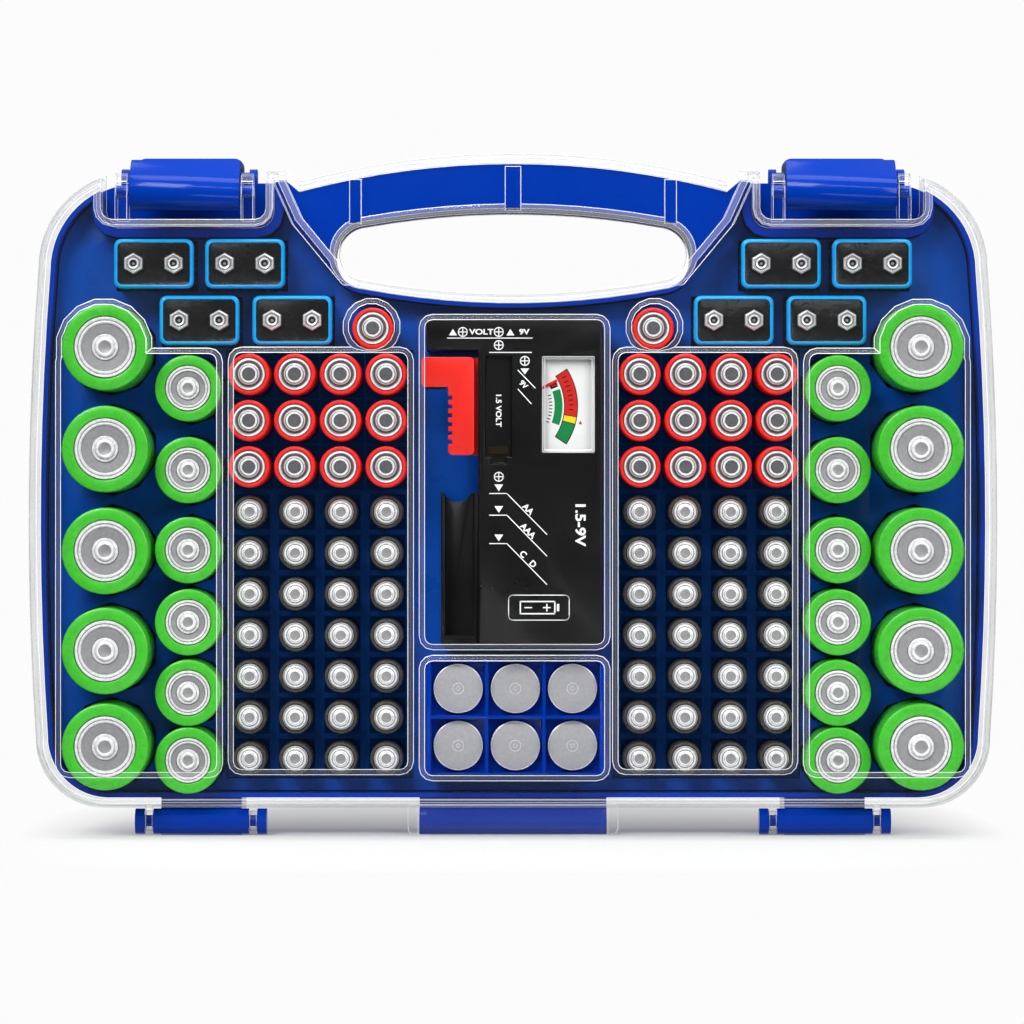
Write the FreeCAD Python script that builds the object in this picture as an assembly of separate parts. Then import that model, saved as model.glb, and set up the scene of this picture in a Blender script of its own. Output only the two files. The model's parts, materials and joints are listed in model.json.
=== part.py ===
import FreeCAD, Part
import math
import os

# A battery storage case that stands on its hinge side: a blue tray with a grip, a hinged clear cover with two
# latches, a plug-in cell tester, and the cells that it keeps. X runs to the right, Z up, the front faces -Y.

# Outline of the case, seen from the front
half_width_middle = 184.0
handle_top = 259.4
upper_draw = 3.6
lower_draw = 2.6
half_width_upper = half_width_middle - upper_draw
half_width_lower = half_width_middle - lower_draw
shell_drop = 6.4
shell_top = handle_top - shell_drop
upper_corner_radius = 38.0
upper_corner_height = shell_top - upper_corner_radius
lower_corner_radius = 27.0
widest_share = 0.628
widest_height = upper_corner_height * widest_share
rim_bottom = 11.2
shoulder_inset = 98.0
shoulder_half = half_width_middle - shoulder_inset
dip_step = 5.0
dip_half = shoulder_half - dip_step
dip_drop = 10.6
dip_height = handle_top - dip_drop

# Depths along Y
case_depth = 67.5
cover_depth = 30.0
back_y = case_depth / 2
front_y = -case_depth / 2
split_y = front_y + cover_depth
overrun = 5.0
joint_sink = 0.6

# Walls, rims and the gaps between cover and tray
wall = 1.8
side_bead = 2.0
base_bead = 0.8
bead_depth = 4.0
rim_clearance = 0.6
rest_clearance = 0.3
edge_chamfer = 3.0
window_step = 2.15
window_slope = 2.0
window_corner = 5.0
corner_steps = 3
tongue = 2.5
face_y = front_y + window_step
ceiling_y = face_y + wall

# Grip
grip_corner_inset = 127.6
grip_corner_half = half_width_middle - grip_corner_inset
grip_end_bulge = 9.5
grip_end_half = grip_corner_half + grip_end_bulge
grip_low_corner_drop = 49.1
grip_low_corner = handle_top - grip_low_corner_drop
grip_high_corner_drop = 28.2
grip_high_corner = handle_top - grip_high_corner_drop
grip_low_drop = 54.4
grip_low = handle_top - grip_low_drop
grip_high_drop = 23.2
grip_high = handle_top - grip_high_drop
handle_cover_depth = 16.75
handle_bar_gap = 2.2
handle_cover_y = front_y + handle_cover_depth
handle_bar_y = handle_cover_y + wall + handle_bar_gap
handle_zone_inset = 95.4
handle_zone_half = half_width_middle - handle_zone_inset
handle_zone_knee = 7.1
handle_zone_knee_half = handle_zone_half - handle_zone_knee
handle_zone_foot = 25.2
handle_zone_foot_half = handle_zone_half - handle_zone_foot
handle_zone_corner_drop = 11.2
handle_zone_corner_height = handle_top - handle_zone_corner_drop
handle_zone_knee_drop = 26.9
handle_zone_knee_height = handle_top - handle_zone_knee_drop
handle_zone_foot_drop = 48.8
handle_zone_foot_height = handle_top - handle_zone_foot_drop
strap_inset = 124.4
strap_half = half_width_middle - strap_inset
strap_width = 4.4
centre_strap_width = 5.9
strap_proud = 1.5
grip_rim = 3.4
handle_rim = 2.4
rim_proud = 1.2

# Hinge on the lower edge
bar_sides = 12
hinge_z = 5.2
hinge_inset = 65.3
hinge_centre = half_width_middle - hinge_inset
foot_radius = 5.2
disc_radius = 4.9
shaft_radius = 2.4
shaft_clearance = 0.05
foot_half = 15.3
inner_disc_end = 18.2
outer_disc_start = 21.4
outer_disc_end = 25.05
hook_radius = 4.0
hook_side_gap = 0.25
hook_mouth = 3.2
foot_gap = 0.35
skirt_half = 40.0
skirt_cheek = 3.8
skirt_gap = 0.5
skirt_thickness = 1.8
skirt_corner = 2.6
centre_foot_half = skirt_half - skirt_cheek - 2 * rest_clearance

# Latches
latch_inset = 60.25
latch_centre = half_width_middle - latch_inset
latch_half = 20.65
latch_pin_y = -22.0
latch_pin_drop = 15.4
latch_pin_z = handle_top - latch_pin_drop
latch_bar_radius = 7.2
latch_pin_radius = 2.25
latch_pin_reach = 5.2
latch_reach = 34.0
latch_plate = 2.8
latch_plate_height = 12.2
latch_lip_height = 14.6
latch_lip = 2.5
latch_corner = 3.8
latch_rise = 3.5
latch_bar_sides = 12
latch_bar_start = 30.0
latch_bar_end = -240.0
ear_gap = 0.75
ear_thickness = 4.6
ear_radius = 7.0
recess_half = 31.0
recess_drop = 26.4
recess_floor = handle_top - recess_drop
recess_corner = 4.2
recess_rim = 2.6
tray_recess_back = 2.0
catch_y = 6.0
catch_drop = 8.4
catch_z = handle_top - catch_drop
catch_radius = 2.0
catch_ear_radius = 3.2
catch_ear_start = 23.0
catch_ear_thickness = 3.0

# Deck and floor of the tray
floor_wall = 1.7
floor_y = back_y - floor_wall
deck_y = 4.75
deck_plate = 2.0
deck_gap = 0.4
deck_rib = 1.6
deck_rib_inner = 35.4
deck_rib_inset = 11.6
deck_rib_outer = half_width_middle - deck_rib_inset
deck_rib_low = 60.0
socket_clearance = 0.45
round_sides = 10

# Cells: radius or half sizes, and length
d_radius = 16.35
d_length = 61.5
c_radius = 12.6
c_length = 50.0
aa_radius = 7.85
aa_length = 50.5
aaa_radius = 6.35
aaa_length = 44.5
nine_volt_half_width = 15.1
nine_volt_half_height = 9.35
nine_volt_length = 48.5
coin_radius = 9.4
coin_thickness = 3.2
cell_gap = 0.05
tray_stand = floor_y - cell_gap
cap_share = 0.3
cap_height = 1.6
snap_radius = 4.1
snap_height = 2.6
snap_half_pitch = 7.6
cell_sides = 10
small_cell_sides = 8
small_sides = 8
coin_sides = 12
nub_sides = 6
hex_sides = 6

# Places of the cells: half distance from the middle of the case, and height; a smaller case keeps fewer
d_inset = 30.5
d_half = half_width_middle - d_inset
d_to_c = 30.5
c_half = d_half - d_to_c
d_top_drop = 29.9
d_top = upper_corner_height - d_top_drop
d_drops = [0.0, 38.3, 76.7, 114.3, 150.4]
d_lowest = 34.0
d_heights = [d_top - drop for drop in d_drops if d_top - drop > d_lowest]
deck_rib_drop = 5.1
deck_rib_high = d_top - deck_rib_drop
c_top_drop = 15.2
c_top = d_top - c_top_drop
c_drops = [0.0, 31.0, 61.3, 88.6, 115.3, 140.9]
c_lowest = 28.5
c_heights = [c_top - drop for drop in c_drops if c_top - drop > c_lowest]
grid_to_c = 23.1
grid_last = c_half - grid_to_c
grid_nearest = 47.9
grid_pitch = 17.3
grid_columns = 1 + int((grid_last - grid_nearest) / grid_pitch)
grid_first = grid_last - (grid_columns - 1) * grid_pitch
aa_top_drop = 9.9
aa_top = d_top - aa_top_drop
aa_pitch = 17.55
aa_rows = 3
aa_to_aaa = 52.15
aaa_top = aa_top - aa_to_aaa
aaa_lowest = 29.4
aaa_pitch = 15.6
aaa_rows = 1 + int((aaa_top - aaa_lowest) / aaa_pitch)
single_shift = 5.1
single_half = grid_first + single_shift
single_rise = 17.4
single_height = aa_top + single_rise
nine_volt_row_drops = (42.2, 63.7)
nine_volt_upper_insets = (47.8, 82.35)
nine_volt_lower_insets = (65.1, 100.3)
coin_middle = 0.9
coin_pitch = 21.65
coin_columns = 3
coin_rows = 2
coin_pocket = 20.4
coin_tray_edge = 1.2
coin_tray_y = -17.5
coin_sink = 3.0

# Grid of small square pockets
pocket_wall = 1.2
pocket_floor = 1.0
pocket_stand = tray_stand - pocket_floor

# Tester
tester_left = -13.1
tester_right = 33.9
tester_low = 72.7
tester_to_grip = 9.4
tester_high = grip_low - tester_to_grip
tester_corner = 1.9
tester_bar_left = -32.7
tester_bar_height = 11.6
tester_bar_low = tester_high - tester_bar_height
tester_face_y = -27.0
tester_seam_y = -8.0
tester_wall = 1.8
tester_front_wall = 3.4
meter_left = 10.9
meter_right = 30.8
meter_drop = 13.8
meter_high = tester_high - meter_drop
meter_height = 36.4
meter_low = meter_high - meter_height
meter_frame = 0.9
meter_pane = 1.2
meter_proud = 0.5
slot_left = -10.3
slot_right = -0.6
slot_drop = 13.9
slot_high = tester_high - slot_drop
slot_height = 37.9
slot_low = slot_high - slot_height
slot_depth = 2.2
slot_tab_left = -8.3
slot_tab_right = -2.7
slot_tab_height = 2.5
slot_tab_low = slot_low - slot_tab_height
needle_x = -1.6
needle_drop = 32.55
needle_z = tester_high - needle_drop
needle_y = -23.1
needle_thickness = 0.4
needle_reach = 20.6
needle_tail = 5.0
needle_width = 1.0
needle_hub = 1.8
needle_pin_radius = 0.7
needle_pin_length = 3.0
needle_pin_clearance = 0.05
needle_rest_angle = 28.0
dial_gap = 0.45
dial_thickness = 0.8
dial_margin = 1.0
movement_half = 6.4
movement_depth = 7.5
movement_gap = 0.9
slider_left = -34.5
slider_right = -14.6
slider_stem_left = -24.4
slider_drop = 14.2
slider_high = tester_high - slider_drop
slider_arm_height = 11.3
slider_arm_low = slider_high - slider_arm_height
slider_height = 36.9
slider_low = slider_high - slider_height
slider_face_y = -27.6
slider_back_y = -16.0
slider_corner = 1.6
slider_tongue = 2.6
slider_tongue_front = -22.0
slider_tongue_back = -19.0
slider_play = 0.3
slider_ridges = 6
slider_ridge_pitch = 3.32
slider_ridge_drop = 14.6
slider_ridge_top = slider_high - slider_ridge_drop
slider_ridge = 1.5
slider_stop = 19.8
slider_travel = slider_low - tester_low - slider_stop
trough_left = -27.3
trough_right = -15.1
trough_drop = 65.0
trough_high = tester_high - trough_drop
trough_face_y = -14.0
trough_depth = 9.0
trough_edge = 1.6
thumb_radius = 5.8
thumb_rise = 2.1
ledge_height = 3.0
contact_thickness = 0.6
contact_margin = 1.0
stud_radius = 3.2
stud_height = 0.8
stud_half_pitch = 6.35
resistor_radius = 2.2
resistor_length = 12.0
screw_radius = 1.5
screw_length = 8.0
screw_inset = 5.0
screw_clearance = 0.05
coin_drop = 16.5
coin_top = tester_low - coin_drop

# Windows of the cover, measured on the outer face
bulk_window_inset = 12.3
bulk_window_outer = half_width_middle - bulk_window_inset
bulk_window_margin = 13.9
bulk_window_inner = c_half - bulk_window_margin
bulk_window_low = 23.4
bulk_window_drop = 0.5
bulk_window_high = d_top - bulk_window_drop
window_groove = 2.2
grid_window_outer = bulk_window_inner - window_groove
grid_window_low = 24.5
grid_window_margin = 9.8
grid_window_high = aa_top + grid_window_margin
single_bump_radius = 10.8
bump_sides = 16
centre_window_left = -35.2
centre_window_right = 36.4
centre_groove = 1.0
grid_window_inner = centre_window_right + centre_groove
tester_window_margin = 1.7
tester_window_high = tester_high + tester_window_margin
tester_window_lap = 1.3
tester_window_low = tester_low - tester_window_lap
coin_window_groove = 2.1
coin_window_low = 22.2
coin_window_high = tester_window_low - coin_window_groove


def point(x, y, z):
    return FreeCAD.Vector(x, y, z)


def block(x0, x1, y0, y1, z0, z1):
    return Part.makeBox(x1 - x0, y1 - y0, z1 - z0, point(x0, y0, z0))


def rod_y(x, z, radius, y0, y1):
    return Part.makeCylinder(radius, y1 - y0, point(x, y0, z), point(0, 1, 0))


def rod_x(y, z, radius, x0, x1):
    return Part.makeCylinder(radius, x1 - x0, point(x0, y, z), point(1, 0, 0))


def faceted_rod_x(y, z, radius, sides, x0, x1):
    """A many-sided bar along X, for round forms that nothing turns on or in."""
    corners = []
    for number in range(sides + 1):
        angle = 2 * math.pi * (number % sides) / sides
        corners.append(point(x0, y + radius * math.cos(angle), z + radius * math.sin(angle)))
    return Part.Face(Part.makePolygon(corners)).extrude(point(x1 - x0, 0, 0))


def join(shapes):
    shapes = list(shapes)
    whole = shapes[0]
    if len(shapes) > 1:
        whole = whole.fuse(shapes[1:])
    return whole.removeSplitter()


def cut(shape, tools):
    return shape.cut(list(tools)).removeSplitter()


def path(start, steps, place):
    """A closed wire from start through steps of (middle or None, end); place turns a pair into a point."""
    edges = []
    here = start
    for middle, end in steps:
        if middle is None:
            edges.append(Part.LineSegment(place(*here), place(*end)).toShape())
        else:
            edges.append(Part.Arc(place(*here), place(*middle), place(*end)).toShape())
        here = end
    return Part.Wire(edges)


def mirrored(pair):
    return None if pair is None else (-pair[0], pair[1])


def symmetric_wire(y, points, middles, crown, base):
    """The left half's points from low to high, the arc middles between them, and those across top and base."""
    steps = list(zip(middles, points[1:]))
    steps.append((crown, mirrored(points[-1])))
    for middle, corner in zip(reversed(middles), reversed(points[:-1])):
        steps.append((mirrored(middle), mirrored(corner)))
    steps.append((base, points[0]))
    return path(points[0], steps, lambda x, z: point(x, y, z))


def prism(wire, depth):
    return Part.Face(wire).extrude(point(0, depth, 0))


def loft(lower, upper):
    return Part.makeLoft([lower, upper], True, True)


def outline(inset, base_inset, y):
    """The case's outline, drawn in by inset at the sides and top and by base_inset at the base."""
    slant = math.sqrt(0.5)
    lower_x = half_width_lower - lower_corner_radius
    lower_z = rim_bottom + lower_corner_radius
    upper_x = half_width_upper - upper_corner_radius
    lower_side = lower_corner_radius - inset
    lower_base = lower_corner_radius - base_inset
    upper = upper_corner_radius - inset
    points = [
        (-lower_x, lower_z - lower_base),
        (-lower_x - lower_side, lower_z),
        (-upper_x - upper, upper_corner_height),
        (-upper_x, upper_corner_height + upper),
        (-shoulder_half, shell_top - inset),
        (-dip_half, dip_height - inset),
    ]
    middles = [
        (-lower_x - lower_side * slant, lower_z - lower_base * slant),
        (-half_width_middle + inset, widest_height),
        (-upper_x - upper * slant, upper_corner_height + upper * slant),
        None,
        None,
    ]
    return symmetric_wire(y, points, middles, (0, handle_top - inset), None)


def grip_outline(grow, y):
    points = [(-grip_corner_half, grip_low_corner - grow), (-grip_corner_half, grip_high_corner + grow)]
    end_height = (grip_low_corner + grip_high_corner) / 2
    middles = [(-grip_end_half - grow, end_height)]
    return symmetric_wire(y, points, middles, (0, grip_high + grow), (0, grip_low - grow))


def handle_zone(grow, y0, y1):
    """The handle's field above the grip, where cover and tray stand back from the main face."""
    high = handle_top + overrun
    points = [
        (-handle_zone_foot_half, handle_zone_foot_height),
        (-handle_zone_knee_half, handle_zone_knee_height),
        (-handle_zone_half, handle_zone_corner_height),
        (-handle_zone_half, high),
    ]
    face = Part.Face(symmetric_wire(y0, points, [None, None, None], None, None))
    if grow != 0:
        face = face.makeOffset2D(grow, join=2)
    return face.extrude(point(0, y1 - y0, 0))


def rounded_panel(x0, x1, z0, z1, corner, y):
    """A rectangle with round corners in the plane of the front, each corner in a few straight steps."""
    middles = [
        (x1 - corner, z1 - corner), (x0 + corner, z1 - corner),
        (x0 + corner, z0 + corner), (x1 - corner, z0 + corner),
    ]
    points = []
    for number, (x, z) in enumerate(middles):
        for step in range(corner_steps + 1):
            angle = math.pi / 2 * (number + step / corner_steps)
            points.append(point(x + corner * math.cos(angle), y, z + corner * math.sin(angle)))
    return Part.makePolygon(points + points[:1])


def rounded_block(x0, x1, y0, y1, z0, z1, corner):
    return prism(rounded_panel(x0, x1, z0, z1, corner, y0), y1 - y0)


def many_sided_wire(x, z, radius, sides, y, outside=False):
    """A regular outline with flats at left and right; outside=True puts the flats on radius, not the corners."""
    corner_radius = radius / math.cos(math.pi / sides) if outside else radius
    corners = []
    for number in range(sides + 1):
        angle = 2 * math.pi * (number % sides + 0.5) / sides
        corners.append(point(x + corner_radius * math.cos(angle), y, z + corner_radius * math.sin(angle)))
    return Part.makePolygon(corners)


def many_sided(x, z, radius, sides, y0, y1, outside=False):
    return prism(many_sided_wire(x, z, radius, sides, y0, outside), y1 - y0)


def both_sides(x):
    return [-x, x]


def window_panels():
    """Edges of the six raised windows: left, right, low, high."""
    panels = []
    for side in (-1, 1):
        bulk = sorted([side * bulk_window_outer, side * bulk_window_inner])
        grid = sorted([side * grid_window_outer, side * grid_window_inner])
        panels.append((bulk[0], bulk[1], bulk_window_low, bulk_window_high))
        panels.append((grid[0], grid[1], grid_window_low, grid_window_high))
    panels.append((centre_window_left, centre_window_right, tester_window_low, tester_window_high))
    panels.append((centre_window_left, centre_window_right, coin_window_low, coin_window_high))
    return panels


def window_bumps():
    """Round swellings of the windows over the top D cells and the single AA cells: x, z, radius."""
    d_bump = bulk_window_outer - d_half
    bumps = []
    for side in (-1, 1):
        bumps.append((side * d_half, d_heights[0], d_bump))
        bumps.append((side * single_half, single_height, single_bump_radius))
    return bumps


def raised_windows():
    solids = []
    for x0, x1, z0, z1 in window_panels():
        low = rounded_panel(x0, x1, z0, z1, window_corner, face_y)
        s = window_slope
        high = rounded_panel(x0 + s, x1 - s, z0 + s, z1 - s, window_corner - s, front_y)
        solids.append(loft(low, high))
    for x, z, radius in window_bumps():
        solids.append(loft(many_sided_wire(x, z, radius, bump_sides, face_y),
                           many_sided_wire(x, z, radius - window_slope, bump_sides, front_y)))
    return solids


def recess_blocks(grow, y0, y1):
    """The two latch recesses in the top corners, larger by grow at the sides, below and in their round corners."""
    blocks = []
    for x in both_sides(latch_centre):
        half = recess_half + grow
        blocks.append(rounded_block(x - half, x + half, y0, y1, recess_floor - grow, handle_top + overrun,
                                    recess_corner + grow))
    return blocks


def front_rims():
    """Raised rims on the flat front: round each latch recess, along the handle's field and round the grip."""
    rim_y = face_y - rim_proud
    root_y = face_y + joint_sink
    field_root_y = handle_cover_y + joint_sink
    flat_front = prism(outline(side_bead + edge_chamfer, base_bead + edge_chamfer, rim_y), field_root_y - rim_y)
    recesses = recess_blocks(0, front_y - overrun, split_y)
    grip_opening = prism(grip_outline(0, front_y - overrun), cover_depth + overrun)
    around_grip = cut(prism(grip_outline(grip_rim, rim_y), root_y - rim_y), [handle_zone(0, rim_y, root_y)])
    over_grip = prism(grip_outline(grip_rim, handle_cover_y - rim_proud), rim_proud + joint_sink)
    over_grip = over_grip.common(handle_zone(0, rim_y, field_root_y))
    beside_field = cut(handle_zone(0, rim_y, field_root_y), [handle_zone(-handle_rim, rim_y, field_root_y)])
    rims = recess_blocks(recess_rim, rim_y, root_y) + [around_grip, over_grip, beside_field]
    return [cut(rim, recesses + [grip_opening]).common(flat_front) for rim in rims]


def cover():
    edge_y = face_y + edge_chamfer
    inner = side_bead + wall
    base_inner = base_bead + wall
    shell = join([
        prism(outline(side_bead, base_bead, edge_y), split_y - edge_y),
        loft(outline(side_bead, base_bead, edge_y),
             outline(side_bead + edge_chamfer, base_bead + edge_chamfer, face_y)),
        prism(outline(0, 0, split_y - bead_depth), bead_depth),
    ])
    shell = join([shell] + raised_windows())
    shell = cut(shell, [handle_zone(0, front_y - overrun, handle_cover_y)])
    cavity = prism(outline(inner, base_inner, ceiling_y), split_y + overrun - ceiling_y)
    keep = [
        handle_zone(wall, front_y - overrun, handle_cover_y + wall),
        prism(grip_outline(wall, front_y - overrun), cover_depth + 2 * overrun),
    ] + recess_blocks(wall, front_y - overrun, split_y + 2 * overrun)
    cavity = cut(cavity, keep)
    openings = [prism(grip_outline(0, front_y - overrun), cover_depth + 2 * overrun)]
    openings += recess_blocks(0, front_y - overrun, split_y + overrun)
    shell = cut(shell, [cavity] + openings)
    return join([shell] + front_rims() + handle_straps() + latch_ears() + hinge_hooks() + [hinge_skirt()])


def handle_straps():
    """Raised straps across the clear part of the handle."""
    straps = []
    for x, width in [(-strap_half, strap_width), (0, centre_strap_width), (strap_half, strap_width)]:
        drop = abs(x) / strap_half * (grip_high - grip_high_corner)
        high = handle_top - side_bead - drop - 2 * wall
        low = grip_high - drop + wall / 2
        straps.append(block(x - width / 2, x + width / 2, handle_cover_y - strap_proud,
                            handle_cover_y + joint_sink, low, high))
    return straps


def latch_ears():
    ears = []
    for x in both_sides(latch_centre):
        for side in (-1, 1):
            near = x + side * (latch_half + ear_gap)
            far = near + side * ear_thickness
            x0, x1 = min(near, far), max(near, far)
            ear = join([
                faceted_rod_x(latch_pin_y, latch_pin_z, ear_radius, bar_sides, x0, x1),
                block(x0, x1, latch_pin_y - ear_radius, latch_pin_y + ear_radius, recess_floor - joint_sink,
                      latch_pin_z),
            ])
            bore = rod_x(latch_pin_y, latch_pin_z, latch_pin_radius + shaft_clearance, x0 - wall, x1 + wall)
            ears.append(cut(ear, [bore]))
    return ears


def hinge_hooks():
    hooks = []
    rim = rim_bottom + base_bead
    for centre in both_sides(hinge_centre):
        for side in (-1, 1):
            near = centre + side * (inner_disc_end + hook_side_gap)
            far = centre + side * (outer_disc_start - hook_side_gap)
            x0, x1 = min(near, far), max(near, far)
            hook = join([
                faceted_rod_x(split_y, hinge_z, hook_radius, bar_sides, x0, x1),
                block(x0, x1, split_y - hook_radius, split_y, hinge_z, rim + joint_sink),
            ])
            bore = rod_x(split_y, hinge_z, shaft_radius + shaft_clearance, x0 - wall, x1 + wall)
            mouth = block(x0 - wall, x1 + wall, split_y - hook_mouth / 2, split_y + hook_mouth / 2,
                          hinge_z - 2 * hook_radius, hinge_z)
            hooks.append(cut(hook, [bore, mouth]))
    return hooks


def hinge_skirt():
    """The clear apron in front of the tray's middle foot, with a cheek at each end and round lower corners."""
    inner_y = split_y - foot_radius - skirt_gap
    outer_y = inner_y - skirt_thickness
    high = rim_bottom + base_bead + joint_sink
    low = hinge_z - disc_radius
    apron = block(-skirt_half, skirt_half, outer_y, inner_y, low, high)
    cheeks = []
    for side in (-1, 1):
        x0, x1 = sorted([side * skirt_half, side * (skirt_half - skirt_cheek)])
        cheeks.append(block(x0, x1, outer_y, split_y, low, high))
    limit = rounded_block(-skirt_half, skirt_half, outer_y, split_y, low, high + skirt_corner, skirt_corner)
    return join([apron] + cheeks).common(limit)


def tray():
    inset = side_bead + wall + rim_clearance
    base_inset = base_bead + wall + rim_clearance
    chamfer_y = back_y - edge_chamfer
    rim_y = split_y - tongue
    outer = join([
        prism(outline(inset, base_inset, rim_y), chamfer_y - rim_y),
        loft(outline(inset, base_inset, chamfer_y),
             outline(inset + edge_chamfer, base_inset + edge_chamfer, back_y)),
    ])
    cavity = prism(outline(inset + wall, base_inset + wall, rim_y - overrun), floor_y - rim_y + overrun)
    gap = wall + rim_clearance
    keep = [handle_zone(wall, rim_y - overrun, back_y), prism(grip_outline(gap + wall, front_y), case_depth)]
    keep += recess_blocks(3 * wall, rim_y - overrun, tray_recess_back + wall)
    cavity = cut(cavity, keep)
    handle = prism(outline(inset, base_inset, handle_bar_y), rim_y + joint_sink - handle_bar_y)
    handle = handle.common(handle_zone(0, handle_bar_y, rim_y + joint_sink))
    openings = [cavity, prism(grip_outline(gap, front_y), case_depth + overrun)]
    openings += recess_blocks(gap, rim_y - overrun, tray_recess_back)
    shell = cut(join([outer, handle]), openings)
    return join([shell] + catch_bars() + hinge_feet() + [middle_foot()])


def catch_bars():
    """A round bar in two ears above each latch recess, for the latch to snap over."""
    bars = []
    top_wall = shell_top - side_bead - wall - rim_clearance - joint_sink
    for x in both_sides(latch_centre):
        x0, x1 = x - catch_ear_start, x + catch_ear_start
        bars.append(faceted_rod_x(catch_y, catch_z, catch_radius, small_sides, x0, x1))
        for side in (-1, 1):
            x0, x1 = sorted([x + side * catch_ear_start, x + side * (catch_ear_start + catch_ear_thickness)])
            ear = faceted_rod_x(catch_y, catch_z, catch_ear_radius, small_sides, x0, x1)
            root = block(x0, x1, catch_y - catch_ear_radius, catch_y + catch_ear_radius, top_wall, catch_z)
            bars.append(join([ear, root]))
    return bars


def foot_block(x0, x1, y1):
    high = rim_bottom + base_bead + wall + rim_clearance + joint_sink
    return join([
        faceted_rod_x(split_y, hinge_z, foot_radius, bar_sides, x0, x1),
        block(x0, x1, split_y, y1, hinge_z - foot_radius, hinge_z),
        block(x0, x1, split_y + foot_gap, y1, hinge_z, high),
    ])


def hinge_feet():
    feet = []
    for x in both_sides(hinge_centre):
        feet.append(foot_block(x - foot_half, x + foot_half, back_y - edge_chamfer))
        for side in (-1, 1):
            inner = sorted([x + side * foot_half, x + side * inner_disc_end])
            outer = sorted([x + side * outer_disc_start, x + side * outer_disc_end])
            feet.append(faceted_rod_x(split_y, hinge_z, disc_radius, bar_sides, *inner))
            feet.append(faceted_rod_x(split_y, hinge_z, disc_radius, bar_sides, *outer))
            feet.append(rod_x(split_y, hinge_z, shaft_radius, *sorted([inner[side > 0], outer[side < 0]])))
    return feet


def middle_foot():
    """A round foot under the middle, on a neck that stays behind the cover's hinge line."""
    high = rim_bottom + base_bead + wall + rim_clearance + joint_sink
    x0, x1 = -centre_foot_half, centre_foot_half
    return join([
        faceted_rod_x(split_y, hinge_z, foot_radius, bar_sides, x0, x1),
        block(x0, x1, split_y + foot_gap, split_y + foot_radius, hinge_z, high),
    ])


def deck_blank():
    """The deck's plate inside the tray's walls, below the handle and the latch recesses, on ribs."""
    inset = side_bead + 2 * wall + rim_clearance + deck_gap
    base_inset = base_bead + 2 * wall + rim_clearance + deck_gap
    plate = prism(outline(inset, base_inset, deck_y), deck_plate)
    keep_out = [handle_zone(wall + deck_gap, deck_y - overrun, back_y)]
    keep_out.append(prism(grip_outline(2 * wall + rim_clearance + deck_gap, deck_y - overrun), case_depth))
    keep_out += recess_blocks(3 * wall + deck_gap, deck_y - overrun, back_y)
    ribs = []
    for near in (deck_rib_inner, deck_rib_outer):
        for side in (-1, 1):
            x0, x1 = sorted([side * near, side * (near + deck_rib)])
            ribs.append(block(x0, x1, deck_y + joint_sink, floor_y, deck_rib_low, deck_rib_high))
    return join([cut(plate, keep_out)] + ribs)


def deck_openings():
    tools = []
    y0, y1 = deck_y - overrun, floor_y + overrun
    for x in both_sides(d_half):
        for z in d_heights:
            tools.append(many_sided(x, z, d_radius + socket_clearance, round_sides, y0, y1, True))
    for x in both_sides(c_half):
        for z in c_heights:
            tools.append(many_sided(x, z, c_radius + socket_clearance, round_sides, y0, y1, True))
    width = nine_volt_half_width + socket_clearance
    height = nine_volt_half_height + socket_clearance
    for x, z in nine_volt_places():
        tools.append(block(x - width, x + width, y0, y1, z - height, z + height))
    for x in both_sides(single_half):
        tools.append(many_sided(x, single_height, aa_radius + socket_clearance, round_sides, y0, y1, True))
    for side in (-1, 1):
        x0, x1, z0, z1 = grid_edges(side)
        g = deck_gap
        tools.append(block(x0 - g, x1 + g, y0, y1, z0 - g, z1 + g))
    return tools


def socket_deck():
    return cut(deck_blank(), deck_openings())


def grid_edges(side):
    """Edges of a block of small pockets: left, right, low, high, from the cells that it holds."""
    aa_half = aa_radius + socket_clearance + pocket_wall
    aaa_half = aaa_radius + socket_clearance + pocket_wall
    near = grid_first - aa_half
    far = grid_first + (grid_columns - 1) * grid_pitch + aa_half
    low = aaa_top - (aaa_rows - 1) * aaa_pitch - aaa_half
    high = aa_top + aa_half
    x0, x1 = sorted([side * near, side * far])
    return x0, x1, low, high


def grid_places(side, top, pitch, rows):
    for row in range(rows):
        for column in range(grid_columns):
            yield side * (grid_first + column * grid_pitch), top - row * pitch


def both_grids(top, pitch, rows):
    return [place for side in (-1, 1) for place in grid_places(side, top, pitch, rows)]


def cell_grid(side):
    """A block of square pockets for the AA and AAA cells, closed by a thin floor."""
    x0, x1, z0, z1 = grid_edges(side)
    y0, y1 = deck_y - overrun, floor_y - pocket_floor
    grid = block(x0, x1, deck_y, floor_y, z0, z1)
    tools = []
    for x, z in grid_places(side, aa_top, aa_pitch, aa_rows):
        half = aa_radius + socket_clearance
        tools.append(block(x - half, x + half, y0, y1, z - half, z + half))
    for x, z in grid_places(side, aaa_top, aaa_pitch, aaa_rows):
        half = aaa_radius + socket_clearance
        tools.append(block(x - half, x + half, y0, y1, z - half, z + half))
    return cut(grid, tools)


def cells(places, radius, length, bottom, sides, with_nub):
    """Upright cells with their base at bottom, each with a raised terminal where with_nub is set."""
    solids = []
    top = bottom - length
    for x, z in places:
        if with_nub:
            body = many_sided(x, z, radius, sides, top + cap_height, bottom)
            nub = many_sided(x, z, radius * cap_share, nub_sides, top, top + cap_height)
            solids.append(join([body, nub]))
        else:
            solids.append(many_sided(x, z, radius, sides, top, bottom))
    return Part.makeCompound(solids)


def pairs(half, heights):
    return [(x, z) for x in both_sides(half) for z in heights]


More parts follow.
